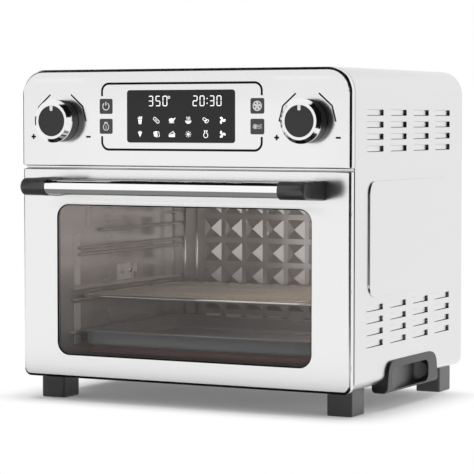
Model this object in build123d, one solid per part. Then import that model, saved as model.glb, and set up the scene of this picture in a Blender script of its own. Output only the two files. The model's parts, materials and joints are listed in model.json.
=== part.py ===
from build123d import *
import math
import os

# Countertop air fryer oven, in millimetres: X across the front, Y from front to back, Z up.
# Depths are measured back from the flat front of the door. At the very end every piece is
# moved forward so that the origin lies on the table, under the middle of the whole oven.

# Driving dimensions of the case
half_width = 190.0
top_z = 345.8
case_bottom = 26.5
case_front = 8.5
case_back = 286.8
sheet = 1.2
top_radius = 25.5
bottom_radius = 10.0
flange_half = 174.0
rear_flange = 11.0
rear_screw_radius = 1.6
gland_place = (-140.0, 75.0)

# Door, separator and fascia, which share the front plane
door_half = 189.4
door_bottom = 24.4
door_top = 243.2
door_corner = 8.0
shell_depth = 7.5
front_rounding = 2.9
cut_edge_rounding = 1.0
separator_front = 7.0
separator_bottom = 243.9
separator_top = 246.0
separator_tab = 150.0
fascia_bottom = 246.3
fascia_corner = 8.0
fascia_sheet = 1.5
frame_front = 8.7
frame_back = frame_front + sheet

# Window, display, knobs and buttons on the front
window_half = 147.4
window_bottom = 48.4
window_top = 206.3
window_radius = 14.0
display_half = 62.3
display_bottom = 270.8
display_top = 323.9
knob_x = 142.3
knob_z = 292.6
knob_front = -18.5
shaft_radius = 3.0
button_x = 87.35
button_size = 15.0
button_rows = (307.65, 287.15)
board_front = 10.0
board_half = 158.0
board_heights = (262.0, 332.0)
board_thick = 1.6
board_post_x = 115.0
board_post_z = (267.0, 327.0)
fascia_posts = ((176.0, 262.05), (172.0, 326.05))

# What the door is made of behind its skin
glass_back = sheet + 4.0
liner_back = glass_back + sheet
door_screw_y = 4.0
door_screw_z = (202.0, 126.0, 51.0)

# Handle across the door
handle_z = 225.4
handle_axis_y = -40.5
handle_radius = 7.7
handle_end_radius = 9.0
handle_end_rounding = 3.5
handle_bar_half = 133.3
handle_half = 162.0
arm_width = 20.0
arm_heights = (-8.5, 8.5)
arm_door_heights = (-10.9, 8.9)
arm_mark = (-22.0, -15.5)

# Hinge along the bottom of the door, inside its thickness
pivot_y = 3.75
pivot_z = 28.4
pin_radius = 1.25
lug_inner_x = 163.0
lug_width = 8.0
running_gap = 0.05

# Cooking cavity
cavity_half = 150.0
cavity_floor_z = 38.2
cavity_top_z = 222.0
cavity_back_y = 267.0
opening_half = 149.0
guide_reach = 6.0
guide_height = 3.6
rack_guides = (103.3, 114.8)
main_guide_ends = (30.0, 261.0)
spare_guides = ((151.0, 44.0), (157.7, 44.0), (175.5, 87.5), (188.5, 245.0))
spare_guide_back = 265.0
pan_guide = 68.4
pyramid_pitch_x = 26.4
pyramid_pitch_z = 27.2
pyramid_base = 21.2
pyramid_height = 5.0
pyramid_top_row = 198.0

# Wire rack and drip pan, which slide on the guides
rack_z = 107.5
rack_front = 44.0
rack_back = 254.0
rack_half = 146.3
rack_rod = 2.0
pan_front = 31.0
pan_back = 250.0
pan_half = 148.0
pan_rim_z = 71.5
pan_floor_z = 55.0

# Fan above the ceiling, heaters and turning spit drive
fan_y = 140.0
fan_radius = 66.0
chamber_radius = 84.0
chamber_top = 258.0
heater_radius = 3.2
lower_heater_z = 47.5
lower_heater_y = (75.0, 205.0)
upper_heater_z = 238.0
upper_heater_ring = 75.0
heater_leads = (-12.0, 12.0)
spit_y = 160.0
spit_z = 128.0
spit_plate = 1.4
spit_plate_depths = (125.0, 157.3)
spit_plate_heights = (118.5, 136.0)
spit_tab_reach = 3.0
spit_tab_back = 165.0
spit_screw_y = (133.7, 150.9)
lamp_place = (222.0, 203.0)

# Feet, carrying grips and louvres
foot_outer = 181.0
foot_width = 27.5
foot_depth = 31.0
foot_fronts = (22.0, 249.0)
grip_middle = 149.0
grip_half = 67.7
grip_taper = 5.7
grip_top = 49.4
grip_bottom = 17.0
grip_corner = 14.0
grip_low_edge = 5.0
grip_stand = 3.0
scoop_depths = (94.0, 177.0)
scoop_heights = (20.0, 42.6)
scoop_reach = 12.5
scoop_corner = 8.5
raised_depths = (41.0, 247.0)
raised_heights = (117.0, 233.0)
raised_corner = 13.0
raised_stand = 1.6
raised_rounding = 1.1
louvre_ends = [77.0 + 58.5 * column for column in range(4)]
louvre_length = 40.0
louvre_height = 6.0
louvre_depth = 2.2
louvre_gaps = (0.6, 0.2)
louvre_corner = 2.0
louvre_rows = [301.0 - 12.0 * row for row in range(4)] + [106.5 - 12.0 * row for row in range(4)]

# The oven reaches from the handle to the cord gland, and the origin lies half way
rear_skin = case_back + sheet
gland_back = rear_skin + 6.0
origin_y = (handle_axis_y - handle_end_radius + gland_back) / 2


# Small helpers for flat pieces in the three main directions

def slab(x0, x1, y0, y1, z0, z1):
    """Plain block between two corners."""
    return Pos((x0 + x1) / 2, (y0 + y1) / 2, (z0 + z1) / 2) * Box(x1 - x0, y1 - y0, z1 - z0)


def outline(half, z0, z1, upper, lower):
    """Flat rectangle seen from the front, with its own radius for upper and lower corners."""
    face = Pos(0, (z0 + z1) / 2) * Rectangle(2 * half, z1 - z0)
    if upper > 0:
        face = fillet(face.vertices().group_by(Axis.Y)[-1], upper)
    if lower > 0:
        face = fillet(face.vertices().group_by(Axis.Y)[0], lower)
    return face


def upright(face, y0, y1):
    """Carries a face drawn in X and Z from depth y0 back to depth y1."""
    plane = Plane(origin=(0, y0, 0), x_dir=(1, 0, 0), z_dir=(0, -1, 0))
    return extrude(plane * face, amount=-(y1 - y0))


def sideways(face, x0, x1):
    """Carries a face drawn in Y and Z from x0 to x1."""
    plane = Plane(origin=(x0, 0, 0), x_dir=(0, 1, 0), z_dir=(1, 0, 0))
    return extrude(plane * face, amount=x1 - x0)


def rod_x(radius, x0, x1, y, z):
    """Round bar along X."""
    return Pos((x0 + x1) / 2, y, z) * Rot(0, 90, 0) * Cylinder(radius, x1 - x0)


def rod_y(radius, y0, y1, x, z):
    """Round bar along Y."""
    return Pos(x, (y0 + y1) / 2, z) * Rot(90, 0, 0) * Cylinder(radius, y1 - y0)


def rod_z(radius, z0, z1, x, y):
    """Round bar along Z."""
    return Pos(x, y, (z0 + z1) / 2) * Cylinder(radius, z1 - z0)


def square(x, z, size, radius, y0, y1):
    """Rounded square plate on the front, centred on x and z."""
    return upright(Pos(x, z) * RectangleRounded(size, size, radius), y0, y1)


def mirrored(piece):
    """The same piece on the other side of the oven."""
    return mirror(piece, about=Plane.YZ)


# Outer case

def grip_outline(spread=0.0):
    """Side view of a carrying grip: a low trapezium with rounded upper corners."""
    face = make_face(Polyline(
        (grip_middle - grip_half, grip_bottom),
        (grip_middle + grip_half, grip_bottom),
        (grip_middle + grip_half - grip_taper, grip_top),
        (grip_middle - grip_half + grip_taper, grip_top),
        close=True,
    ))
    face = fillet(face.vertices().group_by(Axis.Y)[-1], grip_corner)
    if spread:
        face = offset(face, spread)
    return face


def raised_side():
    """Pressed panel that stands proud of the right side, with its hollow behind."""
    middle_y, middle_z = sum(raised_depths) / 2, sum(raised_heights) / 2
    long = raised_depths[1] - raised_depths[0]
    tall = raised_heights[1] - raised_heights[0]
    proud = sideways(
        Pos(middle_y, middle_z) * RectangleRounded(long, tall, raised_corner),
        half_width - sheet, half_width + raised_stand,
    )
    rim = proud.edges().group_by(Axis.X)[-1]
    proud = fillet(rim, raised_rounding)
    hollow = sideways(
        Pos(middle_y, middle_z)
        * RectangleRounded(long - 2 * sheet, tall - 2 * sheet, raised_corner - sheet),
        half_width - sheet - 1, half_width + raised_stand - sheet,
    )
    return proud, hollow


def louvre(end_y, z):
    """One pressed louvre: its opening, and the tongue that slopes inward towards the back."""
    start = end_y - louvre_length
    cut = slab(
        half_width - sheet - 1, half_width + 1, start, end_y,
        z - louvre_height / 2, z + louvre_height / 2,
    )
    plan = make_face(Polyline(
        (half_width, start - 1),
        (half_width, start),
        (half_width - louvre_depth, end_y),
        (half_width - louvre_depth - sheet, end_y),
        (half_width - sheet, start),
        (half_width - sheet, start - 1),
        close=True,
    ))
    below, above = louvre_gaps
    tongue = Pos(0, 0, z - louvre_height / 2 + below) * extrude(
        plan, amount=louvre_height - below - above
    )
    corner = tongue.edges().filter_by(Axis.X).group_by(Axis.Y)[-1].sort_by(Axis.Z)[0]
    return cut, fillet(corner, louvre_corner)


def rear_screw_places():
    """Places of the rear cover's screws, in X and Z."""
    side = half_width - sheet - rear_flange / 2
    places = [(s * side, z) for s in (-1, 1) for z in (60.0, 185.0, 310.0)]
    places += [(x, top_z - sheet - rear_flange / 2) for x in (-100.0, 100.0)]
    return places


def housing_wrap():
    """Top and both sides in one folded sheet, with louvres, raised panels and grip notches."""
    outer = upright(
        outline(half_width, case_bottom, top_z, top_radius, bottom_radius), case_front, case_back
    )
    inner = upright(
        outline(half_width - sheet, case_bottom + sheet, top_z - sheet,
                top_radius - sheet, bottom_radius - sheet),
        case_front, case_back - sheet,
    )
    mouth = upright(
        outline(half_width - sheet - rear_flange, case_bottom + sheet, top_z - sheet - rear_flange,
                top_radius - rear_flange, 1),
        case_back - 2 * sheet, case_back,
    )
    open_bottom = slab(
        -flange_half, flange_half, case_front, case_back, case_bottom - 1, case_bottom + 2 * sheet
    )
    wrap = outer - inner - mouth - open_bottom
    proud, hollow = raised_side()
    tongues, cuts = [], []
    for z in louvre_rows:
        for end_y in louvre_ends:
            cut, tongue = louvre(end_y, z)
            cuts.append(cut)
            tongues.append(tongue)
    cuts.append(sideways(grip_outline(0.3), flange_half - 2, half_width + 1))
    wrap = wrap + proud + mirrored(proud)
    wrap = wrap - [hollow, mirrored(hollow)]
    wrap = wrap - cuts - [mirrored(cut) for cut in cuts]
    wrap = wrap + tongues + [mirrored(tongue) for tongue in tongues]
    holes = [
        rod_y(rear_screw_radius, case_back - 3, case_back + 1, x, z) for x, z in rear_screw_places()
    ]
    return wrap - holes


def rear_cover():
    """Flat rear sheet with two fields of upright air slots and the hole for the cord gland."""
    cover = upright(
        outline(half_width, case_bottom, top_z, top_radius, bottom_radius), case_back, rear_skin
    )
    cuts = [
        rod_y(rear_screw_radius, case_back - 1, rear_skin + 1, x, z)
        for x, z in rear_screw_places()
    ]
    cuts.append(rod_y(8.5, case_back - 1, rear_skin + 1, *gland_place))
    for column in range(11):
        x = -75.0 + 15.0 * column
        for z in (300.0, 240.0):
            slot = Pos(x, z) * Rot(0, 0, 90) * SlotOverall(34, 5)
            cuts.append(upright(slot, case_back - 1, rear_skin + 1))
    return cover - cuts


def cord_gland():
    """Bush where the mains lead enters, with its flange behind the rear cover."""
    x, z = gland_place
    gland = rod_y(8.3, rear_skin - 6, rear_skin, x, z) + rod_y(11.0, rear_skin, gland_back, x, z)
    gland = gland - rod_y(3.6, rear_skin - 7, gland_back + 1, x, z)
    rim = gland.edges().group_by(Axis.Y)[-1].sort_by(SortBy.RADIUS)[-1]
    return fillet(rim, 1.5)


def small_screws():
    """Identical pan head screws: those of the rear cover and the two of the spit bracket."""
    def screw():
        head = Pos(0, 0, 1.0) * Cylinder(2.9, 2.0)
        head = fillet(head.edges().group_by(Axis.Z)[-1], 0.9)
        return head + Pos(0, 0, -2.5) * Cylinder(1.5, 5.0)
    backward = [Pos(x, rear_skin, z) * Rot(-90, 0, 0) * screw() for x, z in rear_screw_places()]
    face_x = -cavity_half + spit_plate
    inward = [Pos(face_x, y, spit_z) * Rot(0, 90, 0) * screw() for y in spit_screw_y]
    return backward + inward


def base_pan():
    """Floor of the case, lying on the inward flanges of the wrap, with air slots."""
    flat_half = half_width - bottom_radius
    pan = slab(-flat_half, flat_half, 12.5, case_back - 2.5,
               case_bottom + sheet, case_bottom + 2 * sheet)
    cuts = []
    for column in range(9):
        for y in (110.0, 180.0):
            slot = Pos(-80.0 + 20.0 * column, y) * Rot(0, 0, 90) * SlotOverall(40, 5)
            cuts.append(Pos(0, 0, case_bottom) * extrude(slot, amount=4))
    for side in (-1, 1):
        x0, x1 = sorted((side * (flange_half - 2), side * 190))
        cuts.append(slab(
            x0, x1, grip_middle - grip_half - 1, grip_middle + grip_half + 1,
            case_bottom, case_bottom + 4,
        ))
    return pan - cuts


def foot(side, front):
    """Square foot under one corner, with a key that fills the gap up to the base pan."""
    inner = foot_outer - foot_width
    block = slab(inner, foot_outer, front, front + foot_depth, 0, case_bottom)
    block = fillet(block.edges().filter_by(Axis.Z), 2)
    block = chamfer(block.edges().group_by(Axis.Z)[0], 0.8)
    key = slab(
        inner + 2, flange_half - 0.3, front + 2, front + foot_depth - 4,
        case_bottom - 0.5, case_bottom + sheet,
    )
    piece = block + key
    return piece if side > 0 else mirrored(piece)


def grip(side):
    """Carrying grip let into the lower edge of one side, with a scoop for the fingers."""
    inner_x, outer_x = flange_half + 1, half_width + grip_stand
    body = sideways(grip_outline(), inner_x, outer_x)
    body = fillet(body.edges().filter_by(Axis.Y).group_by(Axis.Z)[0], grip_low_edge)
    rim = [
        edge for edge in body.edges().group_by(Axis.X)[-1]
        if edge.center().Z > grip_bottom + grip_low_edge + 0.1
    ]
    piece = fillet(rim, 1.2) - scoop(outer_x)
    return piece if side > 0 else mirrored(piece)


def scoop(outer_x):
    """Hollow of a grip: a floor that slopes in towards the back and a quarter round wall."""
    front, deep = scoop_depths
    plan = make_face([
        Line((outer_x, front), (outer_x - scoop_reach, deep)),
        CenterArc((outer_x, deep), scoop_reach, 180, -90),
        Polyline(
            (outer_x, deep + scoop_reach), (outer_x + 3, deep + scoop_reach),
            (outer_x + 3, front), (outer_x, front),
        ),
    ])
    low, high = scoop_heights
    hollow = Pos(0, 0, low) * extrude(plan, amount=high - low)
    back = deep + scoop_reach
    window = sideways(
        Pos((front + back) / 2, (low + high) / 2)
        * RectangleRounded(back - front, high - low, scoop_corner),
        outer_x - scoop_reach - 1, outer_x + 3,
    )
    return hollow & window


# Front frame, fascia and what sits behind it

def front_frame():
    """Flat frame behind door and fascia, open to the cavity and to the control space."""
    frame = upright(
        outline(half_width - 1.5, case_bottom + 1.5, top_z - 1.5, 24, 8.5), frame_front, frame_back
    )
    mouth = upright(outline(opening_half, cavity_floor_z, cavity_top_z, 4, 2),
                    frame_front - 1, frame_back + 1)
    control = upright(outline(163, 252, 338, 6, 6), frame_front - 1, frame_back + 1)
    slots = [
        slab(x - lug_width / 2 - 0.5, x + lug_width / 2 + 0.5,
             frame_front - 1, frame_back + 1, case_bottom, pivot_z + 2.1)
        for x in lug_middles()
    ]
    return frame - mouth - control - slots


def front_block(shrink, half, z0, z1, upper, lower, cut_z, above):
    """Block with rounded front edges that one level cut ends, smaller all round by shrink."""
    block = upright(
        outline(half - shrink, z0 + shrink, z1 - shrink, upper - shrink, lower - shrink),
        shrink, shell_depth,
    )
    block = fillet(block.edges().group_by(Axis.Y)[0], front_rounding - shrink)
    if above:
        return block - slab(-half, half, 0, shell_depth, cut_z - shrink, z1)
    return block - slab(-half, half, 0, shell_depth, z0, cut_z + shrink)


def front_skin(wall, half, z0, z1, upper, lower, cut_z, above):
    """Folded front skin, open at the back, with a small rounding along its level edge."""
    outer = front_block(0, half, z0, z1, upper, lower, cut_z, above)
    rim = [
        edge for edge in outer.edges().filter_by_position(Axis.Z, cut_z - 0.01, cut_z + 0.01)
        if edge.center().Y < shell_depth - 0.01
    ]
    outer = fillet(rim, cut_edge_rounding)
    return outer - front_block(wall, half, z0, z1, upper, lower, cut_z, above)


def fascia_panel():
    """Upper front panel with openings for display, buttons and knob shafts, and its posts."""
    panel = front_skin(
        fascia_sheet, half_width, fascia_bottom - 3 * fascia_corner, top_z,
        top_radius, fascia_corner, fascia_bottom, False,
    )
    display = upright(
        outline(display_half + 0.2, display_bottom - 0.2, display_top + 0.2, 3.2, 3.2),
        -1, fascia_sheet + 1,
    )
    cuts = [display]
    for side in (-1, 1):
        cuts.append(rod_y(4.0, -1, fascia_sheet + 1, side * knob_x, knob_z))
        for z in button_rows:
            cuts.append(square(side * button_x, z, button_size + 0.5, 1.75, -1, fascia_sheet + 1))
    panel = panel - cuts
    posts = []
    for side in (-1, 1):
        posts += [
            rod_y(3.0, fascia_sheet - 0.3, frame_front, side * x, z) for x, z in fascia_posts
        ]
        posts += [
            rod_y(2.5, fascia_sheet - 0.3, board_front, side * board_post_x, z)
            for z in board_post_z
        ]
    return panel + posts


def separator_strip():
    """Bright strip between the fascia and the door."""
    back = case_front - 0.1
    strip = slab(-door_half, door_half, separator_front, back, separator_bottom, separator_top)
    strip = fillet(strip.edges().filter_by(Axis.X).group_by(Axis.Y)[0], 0.5)
    tab = slab(-separator_tab, separator_tab, back, frame_front, separator_bottom, separator_top)
    return strip + tab


def display_lens():
    """Dark window over the lit figures."""
    lens = upright(outline(display_half, display_bottom, display_top, 3, 3), 0, 2.0)
    return fillet(lens.edges().group_by(Axis.Y)[0], 0.3)


def control_board():
    """Circuit board with the lit display block and the four key switches."""
    board = slab(-board_half, board_half, board_front, board_front + board_thick, *board_heights)
    block = slab(2.3 - display_half, display_half - 2.3, 2.0, board_front,
                 display_bottom + 2.2, display_top - 1.9)
    keys = [
        slab(side * button_x - 3, side * button_x + 3, 5.6, board_front, z - 3, z + 3)
        for side in (-1, 1) for z in button_rows
    ]
    return board + block + keys


def encoder(side):
    """Turning encoder behind one knob, fixed to the circuit board."""
    x = side * knob_x
    body = square(x, knob_z, 13, 1, 2.5, board_front)
    return body - rod_y(shaft_radius + running_gap, 2, 8, x, knob_z)


# Knobs and buttons

def turned(points, side):
    """Body of revolution about one knob's axis, from radius and depth points."""
    profile = make_face(Polyline(*[(r, y) for r, y in points], close=True))
    spun = revolve(profile, axis=Axis.Y)
    return Pos(side * knob_x, 0, knob_z) * spun


def knob_body(side):
    """Dark hollow body of one knob, with the hub that grips its shaft."""
    back, front = -0.8, knob_front + 5.5
    return turned([
        (shaft_radius + 0.02, front + 2), (6.0, front + 2),
        (6.0, back - 3), (shaft_radius + 0.02, back - 3),
    ], side) + turned([
        (shaft_radius + 0.02, front), (21.3, front), (21.7, back), (19.7, back),
        (19.3, front + 2.2), (shaft_radius + 0.02, front + 2.2),
    ], side)


def knob_ring(side):
    """Bright bevelled ring round the front of one knob."""
    front = knob_front
    return turned([
        (15.8, front), (18.6, front), (18.9, front + 0.3), (22.3, front + 3.5),
        (22.3, front + 5.5), (15.8, front + 5.5),
    ], side)


def knob_cap(side):
    """Dark disc that closes the front of one knob."""
    front = knob_front
    return turned([
        (0, front + 0.2), (15.4, front + 0.2), (15.75, front + 0.5),
        (15.75, front + 5.5), (0, front + 5.5),
    ], side)


def knob_shaft(side):
    """Flatted shaft from the encoder into one knob."""
    shaft = rod_y(shaft_radius, knob_front + 5.7, 7.5, side * knob_x, knob_z)
    flat = slab(
        side * knob_x - 4, side * knob_x + 4, knob_front + 5, -4,
        knob_z + shaft_radius - 0.6, knob_z + 4,
    )
    return shaft - flat


def button(side, z):
    """Push button: its square cap, the collar behind the fascia and the stem."""
    x = side * button_x
    cap = square(x, z, button_size, 1.5, -0.3, 3.2)
    cap = fillet(cap.edges().group_by(Axis.Y)[0], 0.25)
    collar = square(x, z, button_size + 2, 1.5, 1.9, 3.2)
    return cap + collar + rod_y(2.0, 3.0, 4.1, x, z)


# Door

def lug_middles():
    """X of the middle of each hinge lug."""
    middle = lug_inner_x + lug_width / 2
    return (-middle, middle)


def door_panel():
    """Outer skin of the door with folded edges and the window opening."""
    skin = front_skin(
        sheet, door_half, door_bottom, door_top + 3 * door_corner,
        door_corner, door_corner, door_top, True,
    )
    window = upright(
        outline(window_half, window_bottom, window_top, window_radius, window_radius), -1, sheet + 1
    )
    trimmed = slab(-door_half, door_half, 5.6, shell_depth + 1, door_bottom - 1, door_bottom + 1.8)
    notches = [
        slab(x - lug_width / 2 - 1, x + lug_width / 2 + 1,
             pivot_y - 1.9, shell_depth + 1, door_bottom - 1, door_bottom + 2)
        for x in lug_middles()
    ]
    holes = [
        rod_x(1.9, side * door_half - 2, side * door_half + 2, door_screw_y, z)
        for side in (-1, 1) for z in door_screw_z
    ]
    return skin - window - trimmed - notches - holes


def door_glass():
    """Tempered pane behind the opening of the door skin."""
    pane = upright(outline(156, 40, 214, 6, 6), sheet, glass_back)
    return pane


def door_liner():
    """Inner steel frame that clamps the pane and carries the seal."""
    half = door_half - sheet - 0.1
    plate = upright(outline(half, 34, door_top - sheet - 0.3, 1, 1), glass_back, liner_back)
    hole = upright(outline(148.5, 46, 208.5, 15, 15), glass_back - 1, liner_back + 1)
    flanges, holes = [], []
    for side in (-1, 1):
        x0, x1 = sorted((side * half, side * (half - sheet)))
        flanges.append(slab(x0, x1, 3.0, liner_back, 36, 238))
        for z in door_screw_z:
            holes.append(rod_x(1.1, x0 - 1, x1 + 1, door_screw_y, z))
    return plate - hole + flanges - holes


def door_gasket():
    """Silicone seal on the inner frame, round the mouth of the cavity."""
    ring = upright(outline(161, 35, 231, 8, 8), liner_back, frame_front - 0.4)
    return ring - upright(outline(155, 42, 225, 5, 5), liner_back - 1, frame_front)


def door_side_screws():
    """Small screws that join skin and inner frame along both sides of the door."""
    made = []
    for side in (-1, 1):
        for z in door_screw_z:
            x0, x1 = sorted((side * (door_half - sheet), side * (door_half + 0.15)))
            head = rod_x(1.8, x0, x1, door_screw_y, z)
            x0, x1 = sorted((side * (door_half - 6), side * (door_half - sheet)))
            made.append(head + rod_x(1.0, x0, x1, door_screw_y, z))
    return made


def handle_bar():
    """Bright round bar between the two end brackets."""
    return rod_x(handle_radius, -handle_bar_half, handle_bar_half, handle_axis_y, handle_z)


def handle_bracket(side):
    """Dark end of the handle: a round cap past the bar's end and the arm back to the door."""
    cap = rod_x(handle_end_radius, handle_bar_half, handle_half, handle_axis_y, handle_z)
    cap = fillet(cap.edges().group_by(Axis.X)[-1], handle_end_rounding)
    low, high = [handle_z + height for height in arm_heights]
    door_low, door_high = [handle_z + height for height in arm_door_heights]
    face = make_face(Polyline(
        (handle_axis_y, low), (0, door_low), (0, door_high), (handle_axis_y, high), close=True,
    ))
    face = fillet(face.vertices().sort_by(Axis.Y)[0], 3.0)
    outer_x = handle_half - 0.2
    arm = sideways(face, outer_x - arm_width, outer_x)
    long = [edge for edge in arm.edges() if abs(edge.tangent_at(0.5).Y) > 0.5]
    arm = fillet(long, 2.0)
    mark = slab(outer_x - arm_width / 2, outer_x + 1, *arm_mark,
                handle_z + arm_heights[1] - 1.0, handle_z + arm_heights[1] + 2)
    piece = cap + (arm - mark)
    return piece if side > 0 else mirrored(piece)


def hinge_yokes():
    """Two yokes inside the door's lower edge, each with the pin that the lug turns on."""
    made = []
    for x in lug_middles():
        inside = lug_width / 2 + 0.4
        cheeks = []
        for side in (-1, 1):
            x0, x1 = sorted((x + side * inside, x + side * (inside + 2)))
            cheeks.append(slab(x0, x1, sheet, pivot_y, pivot_z, pivot_z + 16))
            cheeks.append(rod_x(pivot_y - sheet - 0.05, x0, x1, pivot_y, pivot_z))
        reach = inside + 2
        back = slab(x - reach, x + reach, sheet, 2.2, pivot_z + 5, pivot_z + 16)
        pin = rod_x(pin_radius, x - reach, x + reach, pivot_y, pivot_z)
        made.append(back + cheeks + pin)
    return made


def hinge_lugs():
    """Two lugs from the front frame into the door, each round one hinge pin."""
    made = []
    for x in lug_middles():
        half = lug_width / 2
        eye = rod_x(2.2, x - half, x + half, pivot_y, pivot_z)
        arm = slab(x - half, x + half, pivot_y, frame_back + 2, pivot_z - 1.4, pivot_z + 1.4)
        plate = slab(x - 9, x + 9, frame_back, frame_back + 2, pivot_z + 0.6, pivot_z + 26)
        bore = rod_x(pin_radius + running_gap, x - half - 1, x + half + 1, pivot_y, pivot_z)
        made.append(eye + arm + plate - bore)
    return made


# Cooking cavity

def guide(side, z, y0, y1):
    """Pressed guide bead on a side wall, rounded along its nose."""
    x0 = cavity_half - guide_reach
    bead = slab(x0, cavity_half + 0.4, y0, y1, z - guide_height / 2, z + guide_height / 2)
    bead = fillet(bead.edges().filter_by(Axis.Z).group_by(Axis.X)[0], 2.5)
    bead = fillet(bead.edges().filter_by(Axis.Y).group_by(Axis.X)[0], 1.5)
    return bead if side > 0 else mirrored(bead)


def cavity_side(side):
    """One side wall of the cavity with its guide beads and the holes for what passes through."""
    wall = slab(cavity_half, cavity_half + sheet, frame_back, cavity_back_y,
                cavity_floor_z, cavity_top_z)
    if side < 0:
        wall = mirrored(wall)
    beads = [guide(side, z, *main_guide_ends) for z in rack_guides + (pan_guide,)]
    beads += [guide(side, z, front, spare_guide_back) for z, front in spare_guides]
    wall = wall + beads
    cuts = []
    for y in lower_heater_y:
        x0, x1 = sorted((side * (cavity_half - 1), side * (cavity_half + 3)))
        cuts.append(rod_x(heater_radius + 0.1, x0, x1, y, lower_heater_z))
    if side < 0:
        cuts += [rod_x(1.6, -cavity_half - 3, -cavity_half + 1, y, spit_z) for y in spit_screw_y]
    else:
        cuts.append(rod_x(7.0, cavity_half - 1, cavity_half + 3, spit_y, spit_z))
        cuts.append(rod_x(15.2, cavity_half - guide_reach - 1, cavity_half + 3, *lamp_place))
    return wall - cuts


def cavity_ceiling():
    """Ceiling of the cavity, open below the fan."""
    plate = slab(-cavity_half - sheet, cavity_half + sheet, frame_back, cavity_back_y,
                 cavity_top_z, cavity_top_z + sheet)
    return plate - rod_z(70, cavity_top_z - 1, cavity_top_z + 3, 0, fan_y)


def cavity_floor():
    """Floor of the cavity."""
    return slab(-cavity_half - sheet, cavity_half + sheet, frame_back, cavity_back_y,
                cavity_floor_z - sheet, cavity_floor_z)


def cavity_back_wall():
    """Back wall of the cavity, pressed all over into small pyramids that point forward."""
    wall = slab(-cavity_half - sheet, cavity_half + sheet, cavity_back_y, cavity_back_y + sheet,
                cavity_floor_z - sheet, cavity_top_z + sheet)
    pyramids = []
    for column in range(-4, 5):
        for row in range(6):
            x, z = column * pyramid_pitch_x, pyramid_top_row - row * pyramid_pitch_z
            foot_plane = Plane(origin=(x, cavity_back_y, z), x_dir=(1, 0, 0), z_dir=(0, -1, 0))
            base = foot_plane * Rectangle(pyramid_base, pyramid_base)
            tip = foot_plane.offset(pyramid_height) * Rectangle(0.5, 0.5)
            pyramids.append(loft([base, tip]))
    return wall + pyramids


def crumb_tray():
    """Shallow tray that lies on the cavity floor under the lower heaters."""
    x, z = 145.0, cavity_floor_z + 0.2
    outer = slab(-x, x, 14, 262, z, z + 4.5)
    outer = fillet(outer.edges().filter_by(Axis.Z), 6)
    inner = slab(-x + 1, x - 1, 15, 261, z + 1, z + 6)
    inner = fillet(inner.edges().filter_by(Axis.Z), 5)
    return outer - inner


def spit_bracket():
    """Rest for one end of the spit, in the middle of the left wall: plate, step and hook."""
    x = -cavity_half
    front, back = spit_plate_depths
    low, high = spit_plate_heights
    plate = slab(x, x + spit_plate, front, back, low, high)
    step = slab(x, x + spit_tab_reach, back - spit_plate, back, low, high)
    hook = slab(x + spit_tab_reach - spit_plate, x + spit_tab_reach,
                back - spit_plate, spit_tab_back, spit_z - 2, high)
    holes = [rod_x(1.6, x - 1, x + 3, y, spit_z) for y in spit_screw_y]
    return plate + step + hook - holes


def spit_socket():
    """Turning socket in the right wall that drives the spit."""
    body = rod_x(6.5, cavity_half - 9, cavity_half + 8, spit_y, spit_z)
    hole = slab(cavity_half - 10, cavity_half - 1, spit_y - 3.5, spit_y + 3.5,
                spit_z - 3.5, spit_z + 3.5)
    return body - hole


def spit_motor():
    """Slow motor outside the right wall, behind the spit socket."""
    x = cavity_half + sheet
    body = slab(x, x + 20, spit_y - 22, spit_y + 22, spit_z - 22, spit_z + 22)
    body = fillet(body.edges().filter_by(Axis.X), 6)
    return body - rod_x(6.5 + running_gap, x - 1, cavity_half + 8.3, spit_y, spit_z)


def lamp_lens():
    """Glass cover of the oven lamp, in the right wall."""
    y, z = lamp_place
    dome = rod_x(15.0, cavity_half - 2.5, cavity_half + sheet, y, z)
    return fillet(dome.edges().group_by(Axis.X)[0], 2.0)


def lamp_housing():
    """Metal cup outside the right wall that holds the oven lamp."""
    y, z = lamp_place
    x = cavity_half + sheet
    cup = rod_x(18.0, x, x + 22, y, z) - rod_x(16.8, x - 1, x + 20.8, y, z)
    bulb = rod_x(6.0, x + 6, x + 21, y, z)
    return cup + bulb


# Fan and heaters

def fan_guard():
    """Pierced plate under the fan opening."""
    plate = rod_z(80, cavity_top_z - sheet, cavity_top_z, 0, fan_y)
    cuts = []
    for ring, count in ((14, 6), (28, 12), (42, 18), (56, 24)):
        for step in range(count):
            turn = 2 * math.pi * step / count
            cuts.append(rod_z(4.2, cavity_top_z - 3, cavity_top_z + 1,
                              ring * math.cos(turn), fan_y + ring * math.sin(turn)))
    return plate - cuts


def fan_chamber():
    """Round cup above the ceiling, round the fan and the upper heater."""
    z = cavity_top_z + sheet
    cup = rod_z(chamber_radius, z, chamber_top, 0, fan_y)
    cup = fillet(cup.edges().group_by(Axis.Z)[-1], 6)
    brim = rod_z(chamber_radius + 8, z, z + 1, 0, fan_y)
    hollow = rod_z(chamber_radius - 1, z - 1, chamber_top - 1, 0, fan_y)
    hollow = fillet(hollow.edges().group_by(Axis.Z)[-1], 5)
    cup = cup + brim - hollow
    holes = [rod_z(5, chamber_top - 3, chamber_top + 1, 0, fan_y)]
    for x in heater_leads:
        holes.append(rod_y(heater_radius + 0.1, fan_y + 60, fan_y + 100, x, upper_heater_z))
    return cup - holes


def upper_heater():
    """Ring heater round the fan, with two leads through the chamber wall."""
    ring = Pos(0, fan_y, upper_heater_z) * Torus(upper_heater_ring, heater_radius)
    inside = math.sqrt(upper_heater_ring ** 2 - heater_leads[1] ** 2)
    leads = [
        rod_y(heater_radius, fan_y + inside, fan_y + 98, x, upper_heater_z) for x in heater_leads
    ]
    return ring + leads


def lower_heaters():
    """Two straight heater tubes across the cavity, close above the crumb tray."""
    return [
        rod_x(heater_radius, -cavity_half - 12, cavity_half + 12, y, lower_heater_z)
        for y in lower_heater_y
    ]


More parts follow.
